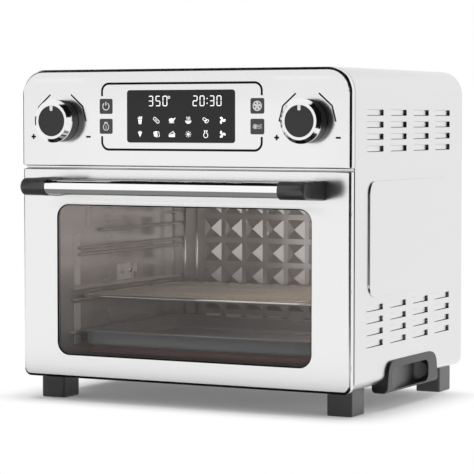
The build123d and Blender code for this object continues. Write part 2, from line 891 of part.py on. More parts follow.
def heater_insulators():
    """Ceramic bushes that hold the ends of the lower heaters outside the side walls."""
    made = []
    for side in (-1, 1):
        for y in lower_heater_y:
            x0, x1 = sorted((side * (cavity_half + sheet), side * (cavity_half + 9)))
            bush = rod_x(6.5, x0, x1, y, lower_heater_z)
            made.append(bush - rod_x(heater_radius + 0.02, x0 - 1, x1 + 1, y, lower_heater_z))
    return made


def fan_motor():
    """Fan motor on top of the fan chamber."""
    body = rod_z(30, chamber_top, chamber_top + 36, 0, fan_y)
    body = fillet(body.edges().group_by(Axis.Z)[-1], 3)
    cap = rod_z(11, chamber_top + 35, chamber_top + 42, 0, fan_y)
    return body + cap - rod_z(shaft_radius + running_gap, chamber_top - 1, chamber_top + 25, 0, fan_y)


def fan_wheel():
    """Radial fan: a disc with upright blades, on the motor's shaft."""
    disc_z = 250.0
    wheel = rod_z(fan_radius, disc_z, disc_z + 1.2, 0, fan_y)
    wheel = wheel + rod_z(9, 236, disc_z + 0.6, 0, fan_y)
    blades = []
    for step in range(14):
        blade = slab(36, fan_radius - 1, -0.6, 0.6, disc_z - 20, disc_z + 0.6)
        blades.append(Pos(0, fan_y, 0) * Rot(0, 0, step * 360 / 14) * blade)
    return wheel + blades + rod_z(shaft_radius, 230, chamber_top + 24, 0, fan_y)


# Rack and pan

def wire_rack():
    """Bent rim rod with fine wires from front to back, welded over two cross rods."""
    rim = Pos(0, (rack_front + rack_back) / 2, rack_z) * RectangleRounded(
        2 * rack_half, rack_back - rack_front, 14
    )
    path = rim.wire()
    section = Plane(origin=path @ 0, z_dir=path % 0) * Circle(rack_rod)
    rods = [sweep(section, path=path)]
    for y in (110.0, 190.0):
        rods.append(rod_x(1.5, -rack_half, rack_half, y, rack_z - 0.5))
    wires = [
        rod_y(1.1, rack_front, rack_back, -126.5 + 11.0 * step, rack_z + 1.4) for step in range(24)
    ]
    return rods[0] + rods[1:] + wires


def drip_pan():
    """Pressed pan whose rim hangs on the lowest guides."""
    middle = (pan_front + pan_back) / 2
    length = pan_back - pan_front
    wall = 0.9

    def tub(shrink, z0):
        block = Pos(0, middle, z0) * extrude(
            RectangleRounded(2 * pan_half - 2 * shrink, length - 2 * shrink, 16), amount=pan_rim_z - z0
        )
        return fillet(block.edges().group_by(Axis.Z)[0], 4)

    rim = Pos(0, middle, pan_rim_z - wall) * extrude(
        RectangleRounded(2 * pan_half, length, 20), amount=wall
    )
    outer = tub(7.0, pan_floor_z)
    inner = tub(7.0 + wall, pan_floor_z + wall)
    return outer + rim - inner


# Write every piece to its own file

def save(name, piece):
    """Moves one piece, or a group of identical ones, into the final frame and writes it."""
    group = piece if isinstance(piece, list) else [piece]
    solids = [solid for item in group for solid in item.solids()]
    shape = solids[0] if len(solids) == 1 else Compound(children=solids)
    moved = Location((0, -origin_y, 0)) * shape
    export_step(moved, f"parts/{name}.step")
    print(name, len(solids), "solid(s)")


def main():
    """Builds the whole oven."""
    os.makedirs("parts", exist_ok=True)
    single = [
        housing_wrap, rear_cover, cord_gland, small_screws, base_pan, front_frame, fascia_panel,
        separator_strip, display_lens, control_board, door_panel, door_glass, door_liner,
        door_gasket, door_side_screws, handle_bar, hinge_yokes, hinge_lugs, cavity_ceiling,
        cavity_floor, cavity_back_wall, crumb_tray, spit_bracket, spit_socket, spit_motor,
        lamp_lens, lamp_housing, fan_guard, fan_chamber, upper_heater, lower_heaters,
        heater_insulators, fan_motor, fan_wheel, wire_rack, drip_pan,
    ]
    for make in single:
        save(make.__name__, make())
    for side, word in ((-1, "left"), (1, "right")):
        save(f"{word}_knob_body", knob_body(side))
        save(f"{word}_knob_ring", knob_ring(side))
        save(f"{word}_knob_cap", knob_cap(side))
        save(f"{word}_knob_shaft", knob_shaft(side))
        save(f"{word}_encoder", encoder(side))
        save(f"{word}_grip", grip(side))
        save(f"cavity_{word}_wall", cavity_side(side))
        save(f"handle_{word}_bracket", handle_bracket(side))
        save(f"front_{word}_foot", foot(side, foot_fronts[0]))
        save(f"rear_{word}_foot", foot(side, foot_fronts[1]))
    save("button_power", button(-1, button_rows[0]))
    save("button_lamp", button(-1, button_rows[1]))
    save("button_convection", button(1, button_rows[0]))
    save("button_air_fry", button(1, button_rows[1]))


main()
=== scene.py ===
import bpy
import bmesh
import json
import math
import numpy as np
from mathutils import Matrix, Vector

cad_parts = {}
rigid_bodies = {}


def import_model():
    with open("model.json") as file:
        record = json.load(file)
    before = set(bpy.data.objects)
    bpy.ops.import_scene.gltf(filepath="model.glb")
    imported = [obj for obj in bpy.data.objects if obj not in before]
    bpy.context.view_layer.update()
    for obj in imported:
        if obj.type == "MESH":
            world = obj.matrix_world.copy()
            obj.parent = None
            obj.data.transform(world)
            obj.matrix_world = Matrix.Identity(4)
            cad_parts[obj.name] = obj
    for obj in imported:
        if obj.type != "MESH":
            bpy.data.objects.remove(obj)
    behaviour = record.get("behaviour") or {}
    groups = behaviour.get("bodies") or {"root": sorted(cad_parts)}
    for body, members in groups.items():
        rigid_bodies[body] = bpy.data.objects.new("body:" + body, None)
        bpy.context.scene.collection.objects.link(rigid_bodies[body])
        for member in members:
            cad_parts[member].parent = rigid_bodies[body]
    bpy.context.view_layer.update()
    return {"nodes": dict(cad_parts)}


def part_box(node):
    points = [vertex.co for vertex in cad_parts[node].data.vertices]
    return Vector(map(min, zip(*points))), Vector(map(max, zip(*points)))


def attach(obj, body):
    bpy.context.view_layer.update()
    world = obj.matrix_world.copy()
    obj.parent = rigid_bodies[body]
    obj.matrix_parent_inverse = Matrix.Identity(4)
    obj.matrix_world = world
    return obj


for stray in list(bpy.data.objects):
    bpy.data.objects.remove(stray)
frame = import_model()

mm = 0.001
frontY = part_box("fascia_panel")[0].y  # the plane of door and control panel
print("frame loaded:", len(frame["nodes"]), "nodes")


# Shapes: marks are drawn in millimetres, across (x) and up (z), and have a front and a back depth

def toFrame(points):
    # millimetres behind the front plane become metres in the shared frame
    placed = np.array(points, dtype=float) * mm
    placed[..., 1] += frontY
    return placed


def arc(cx, cz, rx, rz, start, end, count=20):
    # centre plus radius times cosine and sine of an evenly stepped angle
    turn = np.radians(np.linspace(start, end, count))
    return np.stack([cx + rx * np.cos(turn), cz + rz * np.sin(turn)], 1)


def loop(cx, cz, rx, rz, count=24):
    # a whole turn of an arc, short of the point that would close it twice
    return arc(cx, cz, rx, rz, 0, 360 - 360 / count, count)


def turned(points, degrees, cx=0.0, cz=0.0):
    # each point times the rotation matrix, about one centre
    turn = math.radians(degrees)
    spin = np.array([[math.cos(turn), math.sin(turn)], [-math.sin(turn), math.cos(turn)]])
    return (np.asarray(points, dtype=float) - (cx, cz)) @ spin + (cx, cz)


def roundedBox(cx, cz, halfX, halfZ, radius, steps=6):
    # four quarter circles pushed out to the corners of a rectangle
    corners = [(1, 1, 0), (-1, 1, 90), (-1, -1, 180), (1, -1, 270)]
    return np.concatenate([
        arc(cx + sx * (halfX - radius), cz + sz * (halfZ - radius), radius, radius, start, start + 90, steps)
        for sx, sz, start in corners
    ])


def ribbon(one, other, front, back, closed):
    # two edge lines, each given a front and a back, make sections of four corners
    one, other = np.asarray(one, dtype=float), np.asarray(other, dtype=float)
    sections = np.empty((len(one), 4, 3))
    for corner, (edge, depth) in enumerate([(one, front), (other, front), (other, back), (one, back)]):
        sections[:, corner, 0] = edge[:, 0]
        sections[:, corner, 1] = depth
        sections[:, corner, 2] = edge[:, 1]
    return sections, closed


def stroke(path, width, front, back, closed=False):
    # the path moved sideways both ways by half the width, along the mitre of its two runs
    leastMitre = 0.4  # keeps the point of a sharp bend short
    path = np.asarray(path, dtype=float)
    ahead = np.roll(path, -1, 0) - path
    behind = path - np.roll(path, 1, 0)
    if not closed:
        ahead[-1] = behind[-1]
        behind[0] = ahead[0]
    ahead = ahead[:, ::-1] * (-1, 1) / np.linalg.norm(ahead, axis=1, keepdims=True)
    behind = behind[:, ::-1] * (-1, 1) / np.linalg.norm(behind, axis=1, keepdims=True)
    mitre = (ahead + behind) / (1 + (ahead * behind).sum(1, keepdims=True)).clip(leastMitre)
    half = np.broadcast_to(np.asarray(width, dtype=float) / 2, len(path))[:, None]
    return ribbon(path + mitre * half, path - mitre * half, front, back, closed)


def plate(outline, front, back):
    # a fan from the middle of a closed outline out to its edge
    outline = np.asarray(outline, dtype=float)
    middle = np.broadcast_to(outline.mean(0), outline.shape)
    return ribbon(outline, middle, front, back, True)


def makePiece(name, solids, body, material, smooth=False):
    # every solid is a grid of sections by corners, wrapped round its corners
    # and, where it is closed, round its sections too
    vertices, faces, start = [], [], 0
    for sections, closed in solids:
        count, corners = sections.shape[:2]
        index = np.arange(count * corners).reshape(count, corners) + start
        here = index if closed else index[:-1]
        there = np.roll(index, -1, 0) if closed else index[1:]
        quads = np.stack([here, np.roll(here, -1, 1), np.roll(there, -1, 1), there], -1)
        faces += quads.reshape(-1, 4).tolist()
        if not closed:
            faces += [index[0].tolist(), index[-1][::-1].tolist()]
        vertices.append(sections.reshape(-1, 3))
        start += count * corners
    mesh = bpy.data.meshes.new(name)
    mesh.from_pydata(toFrame(np.concatenate(vertices)).tolist(), [], faces)
    shell = bmesh.new()
    shell.from_mesh(mesh)
    bmesh.ops.remove_doubles(shell, verts=shell.verts, dist=1e-7)
    bmesh.ops.dissolve_degenerate(shell, edges=shell.edges, dist=1e-8)
    bmesh.ops.recalc_face_normals(shell, faces=shell.faces)
    shell.to_mesh(mesh)
    shell.free()
    mesh.polygons.foreach_set("use_smooth", [smooth] * len(mesh.polygons))
    piece = bpy.data.objects.new(name, mesh)
    bpy.context.scene.collection.objects.link(piece)
    mesh.materials.append(material)
    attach(piece, body)
    return piece


# Materials: every one varies over its surface by noise on Object coordinates

def grey(value):
    # one level for red, green and blue
    return (value,) * 3


def startMaterial(name):
    material = bpy.data.materials.new(name)
    material.use_nodes = True
    nodes = material.node_tree.nodes
    return material, nodes, material.node_tree.links, nodes["Principled BSDF"]


def noiseField(nodes, links, scale, detail=3.0, roughness=0.55):
    # fractal noise of a position stretched by one factor per axis
    place = nodes.new("ShaderNodeTexCoord")
    stretch = nodes.new("ShaderNodeMapping")
    stretch.inputs["Scale"].default_value = scale
    noise = nodes.new("ShaderNodeTexNoise")
    noise.inputs["Scale"].default_value = 1.0
    noise.inputs["Detail"].default_value = detail
    noise.inputs["Roughness"].default_value = roughness
    links.new(place.outputs["Object"], stretch.inputs["Vector"])
    links.new(stretch.outputs["Vector"], noise.inputs["Vector"])
    return noise.outputs["Fac"]


def spread(nodes, links, field, low, high, fromLow=0.3, fromHigh=0.7):
    # the field's middle range laid out between two values
    laid = nodes.new("ShaderNodeMapRange")
    laid.inputs["From Min"].default_value = fromLow
    laid.inputs["From Max"].default_value = fromHigh
    laid.inputs["To Min"].default_value = low
    laid.inputs["To Max"].default_value = high
    links.new(field, laid.inputs["Value"])
    return laid.outputs["Result"]


def tint(nodes, links, field, dark, light, fromLow=0.3, fromHigh=0.7):
    # a colour between dark and light by the field
    ramp = nodes.new("ShaderNodeValToRGB")
    ramp.color_ramp.elements[0].position = fromLow
    ramp.color_ramp.elements[1].position = fromHigh
    ramp.color_ramp.elements[0].color = (*dark, 1)
    ramp.color_ramp.elements[1].color = (*light, 1)
    links.new(field, ramp.inputs["Fac"])
    return ramp.outputs["Color"]


def blend(nodes, links, one, other, share):
    # the two fields added up, one by its share and the other by the rest
    mix = nodes.new("ShaderNodeMix")
    mix.inputs["Factor"].default_value = share
    links.new(one, mix.inputs["A"])
    links.new(other, mix.inputs["B"])
    return mix.outputs["Result"]


def relief(nodes, links, field, depth, shader):
    # the field as a height of so many millimetres
    bump = nodes.new("ShaderNodeBump")
    bump.inputs["Strength"].default_value = 1.0
    bump.inputs["Distance"].default_value = depth * mm
    links.new(field, bump.inputs["Height"])
    links.new(bump.outputs["Normal"], shader.inputs["Normal"])


def metalFinish(name, look):
    # drawn lines along one axis over broad patches of duller and brighter metal
    material, nodes, links, shader = startMaterial(name)
    lines = noiseField(nodes, links, look["lines"], 4.0, 0.6)
    patches = noiseField(nodes, links, look["patches"], 2.0)
    both = blend(nodes, links, lines, patches, look["patchShare"])
    links.new(tint(nodes, links, both, look["dark"], look["light"]), shader.inputs["Base Color"])
    links.new(spread(nodes, links, both, *look["rough"]), shader.inputs["Roughness"])
    relief(nodes, links, lines, look["relief"], shader)
    shader.inputs["Metallic"].default_value = look.get("metallic", 1.0)
    # an optional emission; for the heater tube it is a painted glow on a part that is no lamp
    if "glow" in look:
        shader.inputs["Emission Color"].default_value = (*look["glow"], 1)
        shader.inputs["Emission Strength"].default_value = look["glowStrength"]
    return material


def mouldedFinish(name, look):
    # fine pits of spark texture over slow changes of tone
    material, nodes, links, shader = startMaterial(name)
    pits = noiseField(nodes, links, (look["pits"],) * 3, 2.0)
    slow = noiseField(nodes, links, (look["slow"],) * 3, 3.0)
    both = blend(nodes, links, pits, slow, look.get("slowShare", 0.6))
    links.new(tint(nodes, links, both, look["dark"], look["light"]), shader.inputs["Base Color"])
    links.new(spread(nodes, links, both, *look["rough"]), shader.inputs["Roughness"])
    relief(nodes, links, pits, look["relief"], shader)
    shader.inputs["Specular IOR Level"].default_value = look.get("specular", 0.5)
    shader.inputs["Coat Weight"].default_value = look.get("coat", 0.0)
    shader.inputs["Coat Roughness"].default_value = look.get("coatRoughness", 0.08)
    return material


def glassFinish(name, look):
    # clear sheet: a grey body seen through by a fixed share, with faint waviness
    material, nodes, links, shader = startMaterial(name)
    haze = noiseField(nodes, links, look["haze"], 2.0)
    links.new(tint(nodes, links, haze, look["dark"], look["light"]), shader.inputs["Base Color"])
    links.new(spread(nodes, links, haze, *look["rough"]), shader.inputs["Roughness"])
    shader.inputs["Alpha"].default_value = look["alpha"]
    shader.inputs["IOR"].default_value = 1.5
    if "glow" in look:
        shader.inputs["Emission Color"].default_value = (*look["glow"], 1)
        shader.inputs["Emission Strength"].default_value = look["glowStrength"]
    return material


def litFinish(name, look):
    # a shining mark, a little uneven as a backlit print is
    material, nodes, links, shader = startMaterial(name)
    uneven = noiseField(nodes, links, look["uneven"], 2.0)
    colour = tint(nodes, links, uneven, look["dark"], look["light"])
    links.new(colour, shader.inputs["Emission Color"])
    links.new(colour, shader.inputs["Base Color"])
    shader.inputs["Roughness"].default_value = 0.5
    shader.inputs["Emission Strength"].default_value = look["strength"]
    return material


frontSteel = metalFinish("brushedFront", {
    "lines": (14, 40, 2400), "patches": (3, 3, 3), "patchShare": 0.6,
    "dark": grey(0.85), "light": grey(0.885), "rough": (0.16, 0.20), "relief": 0.00004,
})
caseSteel = metalFinish("satinCase", {
    "lines": (1500, 10, 1500), "patches": (4, 2, 4), "patchShare": 0.5,
    "dark": grey(0.77), "light": grey(0.81), "rough": (0.22, 0.28), "relief": 0.00008,
})
chrome = metalFinish("brightTrim", {
    "lines": (600, 600, 600), "patches": (30, 30, 30), "patchShare": 0.5,
    "dark": grey(0.83), "light": grey(0.90), "rough": (0.07, 0.13), "relief": 0.0002,
})
barMetal = metalFinish("polishedBar", {
    "lines": (12, 1800, 1800), "patches": (8, 8, 8), "patchShare": 0.5,
    "dark": grey(0.93), "light": grey(0.97), "rough": (0.07, 0.11), "relief": 0.00005,
})
innerSteel = metalFinish("ovenSteel", {
    "lines": (900, 20, 900), "patches": (14, 14, 14), "patchShare": 0.6,
    "dark": (0.60, 0.58, 0.57), "light": (0.72, 0.70, 0.69), "rough": (0.14, 0.20), "relief": 0.0002,
    "metallic": 0.72,
})
rackWire = metalFinish("platedWire", {
    "lines": (700, 700, 700), "patches": (25, 25, 25), "patchShare": 0.5,
    "dark": (0.74, 0.71, 0.66), "light": (0.84, 0.81, 0.76), "rough": (0.14, 0.24), "relief": 0.0008,
})
# The tube's faint red emission is a painted glow: the tube is no lamp, and the glow lifts the shade on its
# lower half.
heaterTube = metalFinish("heaterTube", {
    "lines": (500, 500, 500), "patches": (30, 30, 30), "patchShare": 0.5,
    "dark": (0.20, 0.13, 0.12), "light": (0.32, 0.18, 0.16), "rough": (0.3, 0.42), "relief": 0.003,
    "metallic": 0.3, "glow": (1.0, 0.40, 0.32), "glowStrength": 0.035,
})
foldedSteel = metalFinish("foldedStrip", {
    "lines": (900, 900, 20), "patches": (20, 20, 20), "patchShare": 0.5,
    "dark": (0.60, 0.59, 0.58), "light": (0.72, 0.71, 0.70), "rough": (0.3, 0.4), "relief": 0.0002,
    "metallic": 0.15,
})
motorMetal = metalFinish("motorMetal", {
    "lines": (900, 900, 900), "patches": (40, 40, 40), "patchShare": 0.5,
    "dark": grey(0.42), "light": grey(0.58), "rough": (0.32, 0.45), "relief": 0.001,
})
panEnamel = mouldedFinish("panEnamel", {
    "pits": 900, "slow": 18, "dark": (0.230, 0.235, 0.243), "light": (0.270, 0.275, 0.284),
    "rough": (0.45, 0.55), "relief": 0.0006, "specular": 0.4,
})
gripPlastic = mouldedFinish("gripPlastic", {
    "pits": 2600, "slow": 14, "dark": grey(0.012), "light": grey(0.018),
    "rough": (0.34, 0.42), "relief": 0.002, "specular": 0.9,
})
darkPlastic = mouldedFinish("knobPlastic", {
    "pits": 3000, "slow": 25, "dark": grey(0.014), "light": grey(0.022),
    "rough": (0.3, 0.42), "relief": 0.002, "specular": 0.45,
})
capPlastic = mouldedFinish("handlePlastic", {
    "pits": 2800, "slow": 20, "dark": grey(0.024), "light": grey(0.034),
    "rough": (0.24, 0.34), "relief": 0.002, "specular": 0.6,
})
displayFace = mouldedFinish("displayFace", {
    "pits": 900, "slow": 8, "dark": grey(0.006), "light": grey(0.010),
    "rough": (0.16, 0.24), "relief": 0.0002, "specular": 0.36,
})
buttonFace = mouldedFinish("buttonFace", {
    "pits": 2400, "slow": 60, "dark": grey(0.040), "light": grey(0.055),
    "rough": (0.34, 0.46), "relief": 0.002,
})
footRubber = mouldedFinish("footRubber", {
    "pits": 2200, "slow": 30, "dark": grey(0.050), "light": grey(0.060),
    "rough": (0.26, 0.36), "relief": 0.003, "specular": 0.8,
})
sealRubber = mouldedFinish("doorSeal", {
    "pits": 1800, "slow": 30, "dark": grey(0.022), "light": grey(0.034),
    "rough": (0.6, 0.75), "relief": 0.006, "specular": 0.3,
})
ceramic = mouldedFinish("heaterCeramic", {
    "pits": 1500, "slow": 60, "dark": (0.62, 0.58, 0.50), "light": (0.74, 0.71, 0.64),
    "rough": (0.5, 0.65), "relief": 0.004, "specular": 0.3,
})
boardResin = mouldedFinish("boardResin", {
    "pits": 1200, "slow": 90, "dark": (0.02, 0.10, 0.05), "light": (0.04, 0.16, 0.08),
    "rough": (0.35, 0.5), "relief": 0.004,
})
# Black print on the panel; the same finish also paints the dark reflection inside the window's edge.
printAndPaintedReflectionBlack = mouldedFinish("printAndPaintedReflectionBlack", {
    "pits": 2500, "slow": 60, "dark": grey(0.003), "light": grey(0.006),
    "rough": (0.5, 0.65), "relief": 0.001, "specular": 0.1,
})
printWhite = mouldedFinish("printWhite", {
    "pits": 2500, "slow": 60, "dark": grey(0.78), "light": grey(0.86),
    "rough": (0.4, 0.55), "relief": 0.001,
})
# The see-through share darkens the view as tinted glass does; the grey body adds a painted pale veil in
# place of part of the pane's reflection.
windowGlass = glassFinish("windowGlass", {
    "haze": (6, 6, 6), "dark": (0.096, 0.089, 0.084), "light": (0.114, 0.107, 0.101),
    "rough": (0.03, 0.06), "alpha": 0.18,
})
lampGlass = glassFinish("lampGlass", {
    "haze": (60, 60, 60), "dark": (0.9, 0.7, 0.45), "light": (0.95, 0.8, 0.6),
    "rough": (0.1, 0.2), "alpha": 0.9, "glow": (1.0, 0.55, 0.22), "glowStrength": 3.0,
})
litMark = litFinish("litMark", {
    "uneven": (300, 300, 300), "dark": grey(0.80), "light": grey(0.92), "strength": 0.75,
})

finishes = {
    "front_steel": frontSteel, "case_steel": caseSteel, "bright_trim": chrome, "inner_steel": innerSteel,
    "dark_plastic": darkPlastic, "grip_plastic": gripPlastic, "display_black": displayFace,
    "button_grey": buttonFace, "window_glass": windowGlass, "lamp_glass": lampGlass, "seal": sealRubber,
    "foot_rubber": footRubber, "board": boardResin, "heater_tube": heaterTube, "ceramic": ceramic,
    "motor_metal": motorMetal, "aluminium_bar": barMetal,
}
ownFinishes = {
    "handle_left_bracket": capPlastic, "handle_right_bracket": capPlastic, "wire_rack": rackWire,
    "drip_pan": panEnamel, "spit_bracket": foldedSteel,
}
for name, node in frame["nodes"].items():
    for place in node.material_slots:
        place.material = ownFinishes.get(name, finishes[place.material.name])
print("materials on every node")


# Camera at the photograph's angle

cameraPlace = {
    "location": (1.0803, -2.06705, 0.2940), "azimuth": 27.578, "elevation": 3.057,
    "lens": 166.9, "sensor": 36.0, "farthest": 100.0,
}


def makeCamera(values):
    # looks against a direction given by its turn round the oven and its rise
    data = bpy.data.cameras.new("photoCamera")
    data.sensor_width = values["sensor"]
    data.lens = values["lens"]
    data.clip_end = values["farthest"]
    camera = bpy.data.objects.new("photoCamera", data)
    bpy.context.scene.collection.objects.link(camera)
    azimuth, elevation = math.radians(values["azimuth"]), math.radians(values["elevation"])
    level = math.cos(elevation)
    back = Vector((math.sin(azimuth) * level, -math.cos(azimuth) * level, math.sin(elevation)))
    camera.location = values["location"]
    camera.rotation_euler = (-back).to_track_quat("-Z", "Y").to_euler()
    bpy.context.scene.camera = camera


makeCamera(cameraPlace)


# Display figures and pictograms

display = {
    "front": -0.12, "back": 0.0, "digitSize": (5.5, 10.6), "digitBottom": 307.6, "digitLine": 0.85,
    "barGap": 0.15, "barTip": 0.05,
    "temperature": "350", "temperatureX": (-37.2, -28.8, -20.6), "degree": (-13.2, 316.6, 1.1),
    "degreeLine": 0.5, "clock": "2030", "clockX": (14.2, 22.2, 33.4, 41.5),
    "colonX": 30.8, "colonZ": (310.4, 315.2), "colonRadius": 0.6,
    "columns": (-47.1, -28.0, -9.9, 9.2, 29.1, 47.9), "rows": (293.4, 279.3), "iconHalf": 4.1,
}
segmentsOf = {
    "0": "abcdef", "1": "bc", "2": "abdeg", "3": "abcdg", "4": "bcfg",
    "5": "acdfg", "6": "acdefg", "7": "abc", "8": "abcdefg", "9": "abcdfg",
}


def digit(figure, left, values):
    # seven bars with pointed ends, between the corners and the middles of a rectangle
    wide, tall = values["digitSize"]
    line, gap, tip = values["digitLine"], values["barGap"], values["barTip"]
    low = values["digitBottom"]
    inset = line / 2
    x0, x1 = left + inset, left + wide - inset
    z0, z1, z2 = low + inset, low + tall / 2, low + tall - inset
    ends = {
        "a": ((x0, z2), (x1, z2)), "b": ((x1, z2), (x1, z1)), "c": ((x1, z1), (x1, z0)),
        "d": ((x1, z0), (x0, z0)), "e": ((x0, z0), (x0, z1)), "f": ((x0, z1), (x0, z2)),
        "g": ((x0, z1), (x1, z1)),
    }
    solids = []
    for segment in segmentsOf[figure]:
        start, end = (np.array(point) for point in ends[segment])
        along = (end - start) / np.linalg.norm(end - start)
        shoulder = gap + inset
        path = np.array([
            start + along * gap, start + along * shoulder, end - along * shoulder, end - along * gap,
        ])
        solids.append(stroke(path, [tip, line, line, tip], values["front"], values["back"]))
    return solids


def displayFigures(values):
    # temperature with its degree ring, and clock with its colon
    front, back = values["front"], values["back"]
    solids = []
    for figure, left in zip(values["temperature"], values["temperatureX"]):
        solids += digit(figure, left, values)
    for figure, left in zip(values["clock"], values["clockX"]):
        solids += digit(figure, left, values)
    x, z, radius = values["degree"]
    solids.append(stroke(loop(x, z, radius, radius), values["degreeLine"], front, back, True))
    dot = values["colonRadius"]
    for z in values["colonZ"]:
        solids.append(plate(loop(values["colonX"], z, dot, dot), front, back))
    return makePiece("displayFigures", solids, "cabinet", litMark)


displayFigures(display)


def blades(count, inner, outer, sweep, width, start=0.0):
    # leaves that lean over as they leave the hub, as wide as a sine from 0.12 to 0.92 of a half turn
    leaves = []
    along = np.linspace(0, 1, 12)
    for number in range(count):
        angle = np.radians(start + 360 * number / count + sweep * along)
        radius = inner + (outer - inner) * along
        path = np.stack([radius * np.cos(angle), radius * np.sin(angle)], 1)
        leaves.append(("line", path, width * np.sin(math.pi * (0.12 + 0.8 * along)), False))
    return leaves


def wave(x, z0, z1, reach):
    # sideways sine over a rising line
    rise = np.linspace(0, 1, 10)
    return np.stack([x + reach * np.sin(2 * math.pi * rise), z0 + (z1 - z0) * rise], 1)


# Each pictogram fits a box of plus and minus one
pictograms = [
    [  # potato sticks in a carton
        ("fill", [(-0.5, 0.1), (0.5, 0.1), (0.34, -0.95), (-0.34, -0.95)]),
        *[("line", [(x, 0.2), (x * 1.25, top)], 0.19, False)
          for x, top in ((-0.42, 0.7), (-0.14, 0.95), (0.14, 0.85), (0.42, 0.98))],
    ],
    [  # sausage
        ("line", turned(roundedBox(0, 0, 0.95, 0.36, 0.35), -40), 0.14, True),
        ("line", turned([(-0.4, 0), (0.4, 0)], -40), 0.10, False),
    ],
    [  # roast bird
        ("fill", loop(-0.1, 0.0, 0.72, 0.5, 20)),
        ("line", [(0.45, 0.1), (0.85, 0.42)], 0.2, False),
        ("fill", loop(0.88, 0.48, 0.15, 0.15, 12)),
        ("line", [(-0.8, -0.62), (0.7, -0.62)], 0.14, False),
    ],
    [  # bowl with steam
        ("fill", arc(0, -0.1, 0.85, 0.75, 180, 360, 14)),
        *[("line", wave(x, 0.1, 0.85, 0.08), 0.14, False) for x in (-0.4, 0.0, 0.4)],
    ],
    [  # two wings
        ("line", turned(loop(-0.3, 0.2, 0.55, 0.32, 20), -30, -0.3, 0.2), 0.15, True),
        ("line", turned(loop(0.3, -0.25, 0.55, 0.32, 20), 30, 0.3, -0.25), 0.15, True),
    ],
    # fan that turns one way
    [*blades(3, 0.12, 0.92, 45, 0.62, 90), ("fill", loop(0, 0, 0.16, 0.16, 12))],
    [  # wedge of pizza
        ("fill", [(-0.55, 0.42), (0.0, 0.5), (0.55, 0.42), (0.0, -0.75)]),
        ("line", arc(0, -0.1, 0.72, 0.8, 48, 132, 10), 0.13, False),
    ],
    [  # two slices of toast
        ("fill", turned(roundedBox(-0.2, 0.1, 0.5, 0.6, 0.15), 12)),
        ("line", turned(roundedBox(0.3, -0.12, 0.5, 0.6, 0.15), 12), 0.12, True),
    ],
    [  # slice of cake
        ("fill", [(-0.85, -0.1), (0.85, -0.1), (0.85, -0.7), (-0.85, -0.7)]),
        ("line", [(-0.85, 0.05), (0.35, 0.65), (0.85, 0.05)], 0.16, True),
    ],
    [  # small sun
        ("fill", loop(0, 0, 0.34, 0.34, 20)),
        *[("line", turned([(0.52, 0), (0.8, 0)], angle), 0.15, False) for angle in range(0, 360, 45)],
    ],
    [  # bag tied at its neck
        ("line", arc(0, -0.25, 0.58, 0.6, 110, 430, 24), 0.16, False),
        ("line", [(-0.2, 0.32), (-0.42, 0.85), (0.42, 0.85), (0.2, 0.32)], 0.16, False),
    ],
    # fan that turns the other way
    [*blades(3, 0.12, 0.92, -45, 0.62, 30), ("fill", loop(0, 0, 0.16, 0.16, 12))],
]


def drawn(marks, cx, cz, size, front, back):
    # unit drawings scaled about a centre
    solids = []
    for kind, points, *rest in marks:
        placed = np.asarray(points, dtype=float) * size + (cx, cz)
        if kind == "fill":
            solids.append(plate(placed, front, back))
        else:
            width, closed = rest
            solids.append(stroke(placed, np.asarray(width) * size, front, back, closed))
    return solids


def displayPictograms(values):
    # one row after the other, each from left to right
    solids = []
    across = len(values["columns"])
    for number, marks in enumerate(pictograms):
        x, z = values["columns"][number % across], values["rows"][number // across]
        solids += drawn(marks, x, z, values["iconHalf"], values["front"], values["back"])
    return makePiece("displayPictograms", solids, "cabinet", litMark)


displayPictograms(display)
print("display drawn")


# Button symbols, each on its own button

buttonMarks = {"front": -0.42, "back": -0.3, "half": 5.2, "x": 87.35, "rows": (307.65, 287.15)}
buttonDrawings = {
    "powerSymbol": ("power_button", -1, 0, [
        ("line", arc(0, 0, 0.72, 0.72, 125, 415, 40), 0.2, False),
        ("line", [(0, 0.15), (0, 0.88)], 0.2, False),
    ]),
    "lampSymbol": ("lamp_button", -1, 1, [
        ("line", arc(0, -0.15, 0.62, 0.62, 125, 415, 32), 0.15, False),
        ("line", [(-0.3, 0.38), (-0.28, 0.78), (0.28, 0.78), (0.3, 0.38)], 0.15, False),
        ("line", [(-0.24, 0.58), (0.24, 0.58)], 0.12, False),
        ("line", [(0, -0.5), (0, 0.2)], 0.12, False),
    ]),
    "convectionSymbol": ("convection_button", 1, 0, [
        ("line", loop(0, 0, 0.86, 0.86, 36), 0.24, True), *blades(5, 0.14, 0.84, 30, 0.42),
        ("fill", loop(0, 0, 0.18, 0.18, 12)),
    ]),
    "airFrySymbol": ("air_fry_button", 1, 1, [
        ("line", loop(-0.42, 0, 0.44, 0.44), 0.1, True),
        *[(kind, np.asarray(points) * 0.38 + (-0.42, 0), width * 0.38, closed)
          for kind, points, width, closed in blades(4, 0.1, 0.95, 40, 0.6)],
        *[("line", turned(wave(0, -0.4, 0.4, 0.07), 90) + (0.56, rise), 0.1, False)
          for rise in (-0.3, 0.0, 0.3)],
    ]),
}
for name, (body, side, row, marks) in buttonDrawings.items():
    solids = drawn(
        marks, side * buttonMarks["x"], buttonMarks["rows"][row], buttonMarks["half"],
        buttonMarks["front"], buttonMarks["back"],
    )
    makePiece(name, solids, body, printWhite)


# Printing on the control panel

printing = {
    "front": -0.06, "back": 0.0, "half": 92.2, "bottom": 263.3, "top": 330.9, "radius": 8.0,
    "gapLow": 276.9, "gapHigh": 318.1, "line": 2.3, "knobX": 142.3, "knobZ": 292.6,
    "shoulder": [(12.6, 27.3), (26.8, 15.0), (30.9, -0.5)], "shoulderLine": 1.6,
    "signX": 33.5, "signZ": -16.3, "signHalf": 2.7, "signLine": 1.9,
}


